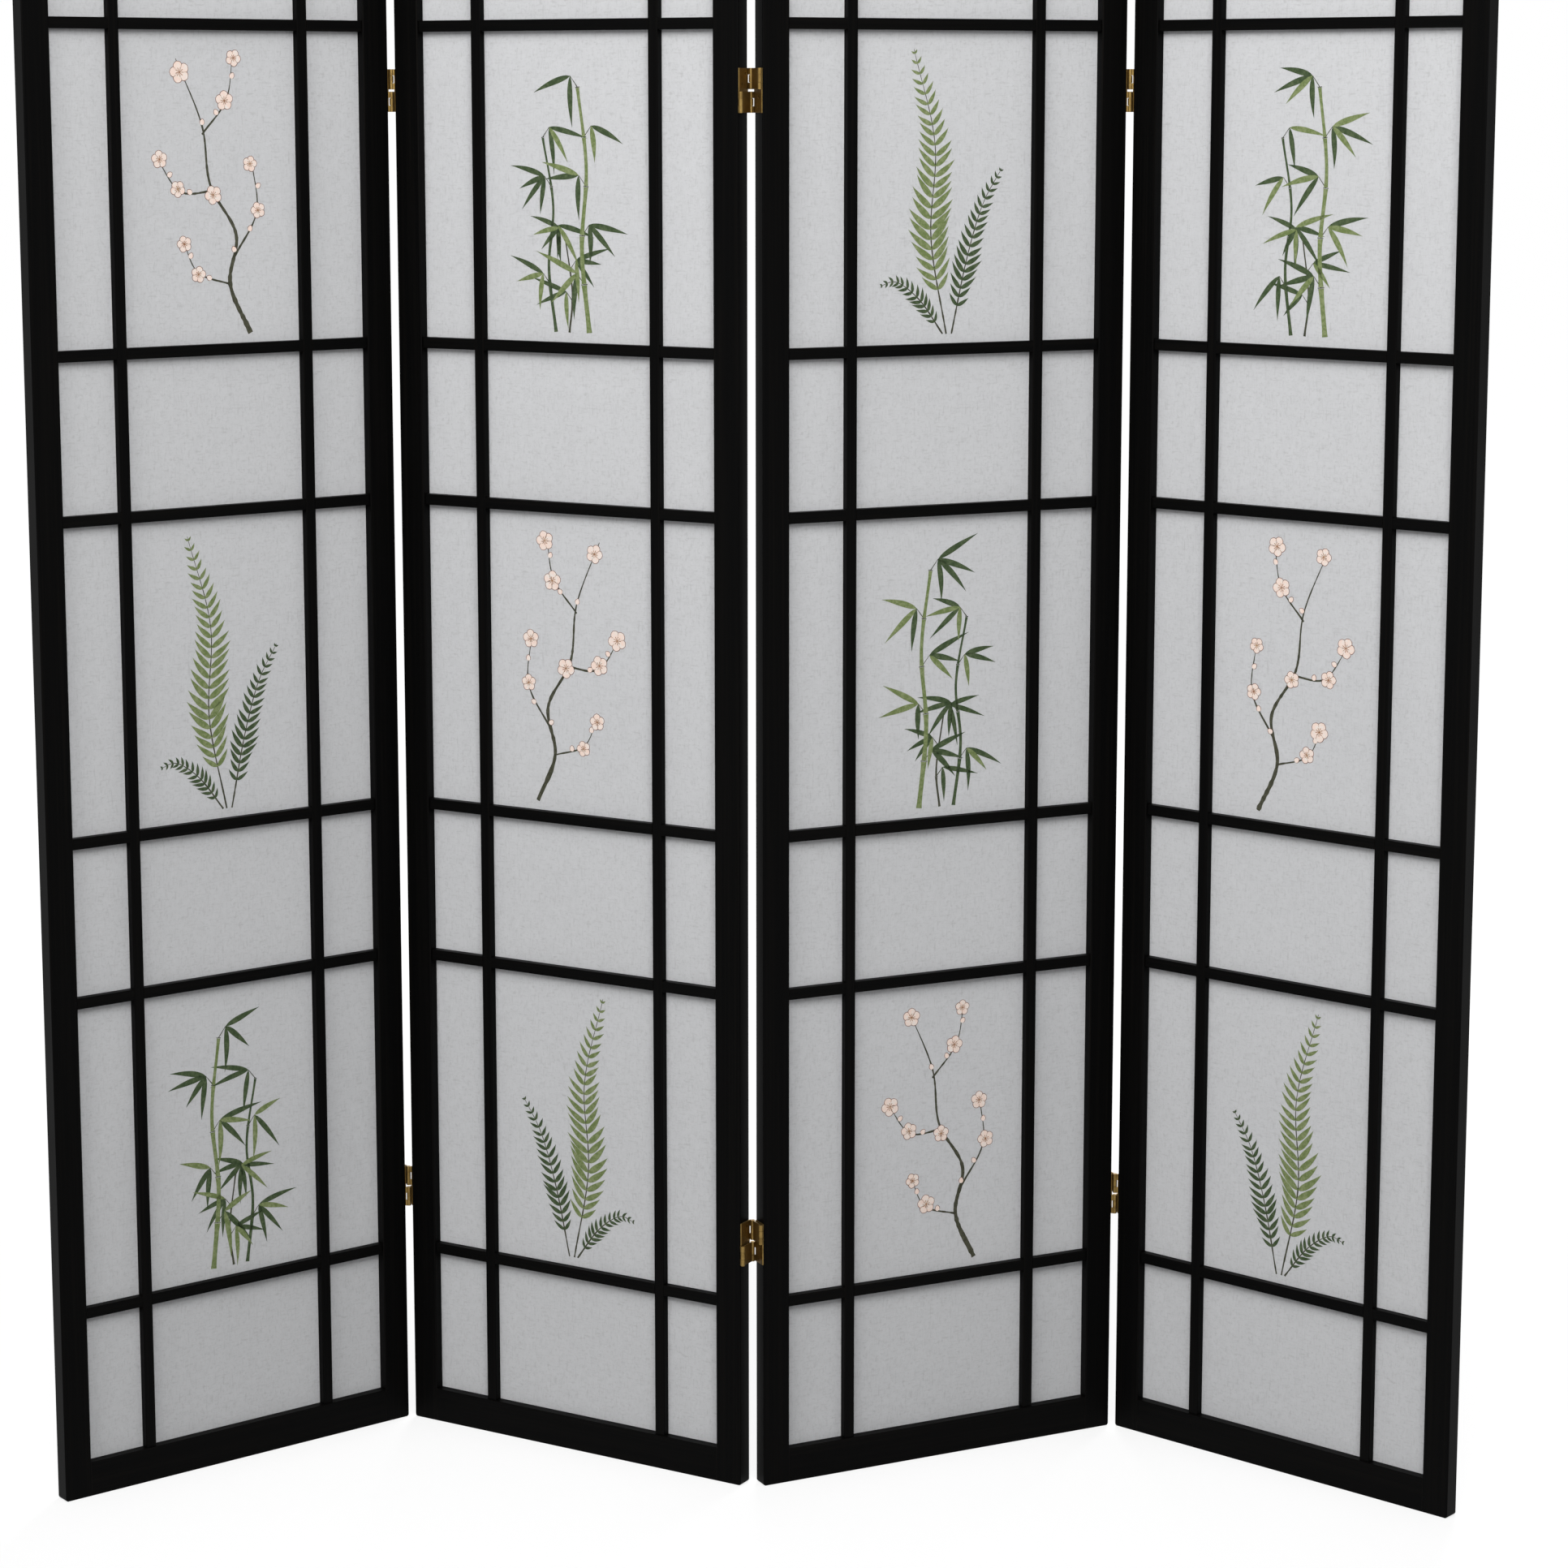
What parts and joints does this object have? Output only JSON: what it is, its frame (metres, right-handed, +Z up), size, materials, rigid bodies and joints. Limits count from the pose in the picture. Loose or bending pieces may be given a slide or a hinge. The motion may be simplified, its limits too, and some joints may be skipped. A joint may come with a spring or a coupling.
{
  "type": "folding privacy screen",
  "caption": "Freestanding folding screen of hinged lattice panels: black lacquered wood frames with paper behind the lattice, joined edge to edge by brass two-way hinges.",
  "frame": {"origin": "on the floor, under the middle of the standing screen's bounding box", "axes": "+Z up, +X to the viewer's right along the screen, +Y away from the viewer of the front"},
  "size_m": [1.5086, 0.3344, 1.784],
  "materials": {
    "black_lacquer": "satin black lacquer over softwood",
    "paper": "matte fibre paper",
    "brass": "plated, lightly tarnished"
  },
  "bodies": {
    "panel_1": {"hinge_1_2_left_leaves": "brass", "hinge_1_2_left_pins": "brass", "hinge_1_2_left_screws": "brass", "hinge_1_2_upper_links": "brass", "panel_1_bottom_rail": "black_lacquer", "panel_1_lattice_crossbars": "black_lacquer", "panel_1_lattice_uprights": "black_lacquer", "panel_1_left_stile": "black_lacquer", "panel_1_paper": "paper", "panel_1_right_stile": "black_lacquer", "panel_1_top_rail": "black_lacquer"},
    "panel_2": {"hinge_1_2_lower_links": "brass", "hinge_1_2_right_leaves": "brass", "hinge_1_2_right_pins": "brass", "hinge_1_2_right_screws": "brass", "hinge_2_3_left_leaves": "brass", "hinge_2_3_left_pins": "brass", "hinge_2_3_left_screws": "brass", "hinge_2_3_lower_links": "brass", "panel_2_bottom_rail": "black_lacquer", "panel_2_lattice_crossbars": "black_lacquer", "panel_2_lattice_uprights": "black_lacquer", "panel_2_left_stile": "black_lacquer", "panel_2_paper": "paper", "panel_2_right_stile": "black_lacquer", "panel_2_top_rail": "black_lacquer"},
    "panel_3": {"hinge_2_3_right_leaves": "brass", "hinge_2_3_right_pins": "brass", "hinge_2_3_right_screws": "brass", "hinge_2_3_upper_links": "brass", "hinge_3_4_left_leaves": "brass", "hinge_3_4_left_pins": "brass", "hinge_3_4_left_screws": "brass", "hinge_3_4_upper_links": "brass", "panel_3_bottom_rail": "black_lacquer", "panel_3_lattice_crossbars": "black_lacquer", "panel_3_lattice_uprights": "black_lacquer", "panel_3_left_stile": "black_lacquer", "panel_3_paper": "paper", "panel_3_right_stile": "black_lacquer", "panel_3_top_rail": "black_lacquer"},
    "panel_4": {"hinge_3_4_lower_links": "brass", "hinge_3_4_right_leaves": "brass", "hinge_3_4_right_pins": "brass", "hinge_3_4_right_screws": "brass", "panel_4_bottom_rail": "black_lacquer", "panel_4_lattice_crossbars": "black_lacquer", "panel_4_lattice_uprights": "black_lacquer", "panel_4_left_stile": "black_lacquer", "panel_4_paper": "paper", "panel_4_right_stile": "black_lacquer", "panel_4_top_rail": "black_lacquer"}
  },
  "joints": [
    {"name": "fold_1_2", "type": "hinge", "parent": "panel_2", "child": "panel_1", "pos_m": [-0.39666, 0.14712, 0.892], "axis": [0, 0, 1], "range_deg": [-68.7, 110.3]},
    {"name": "fold_2_3", "type": "hinge", "parent": "panel_2", "child": "panel_3", "pos_m": [-0.00105, -0.05941, 0.892], "axis": [0, 0, 1], "range_deg": [-56.6, 122.4]},
    {"name": "fold_3_4", "type": "hinge", "parent": "panel_3", "child": "panel_4", "pos_m": [0.40737, 0.12045, 0.892], "axis": [0, 0, -1], "range_deg": [-67.2, 111.8]}
  ]
}
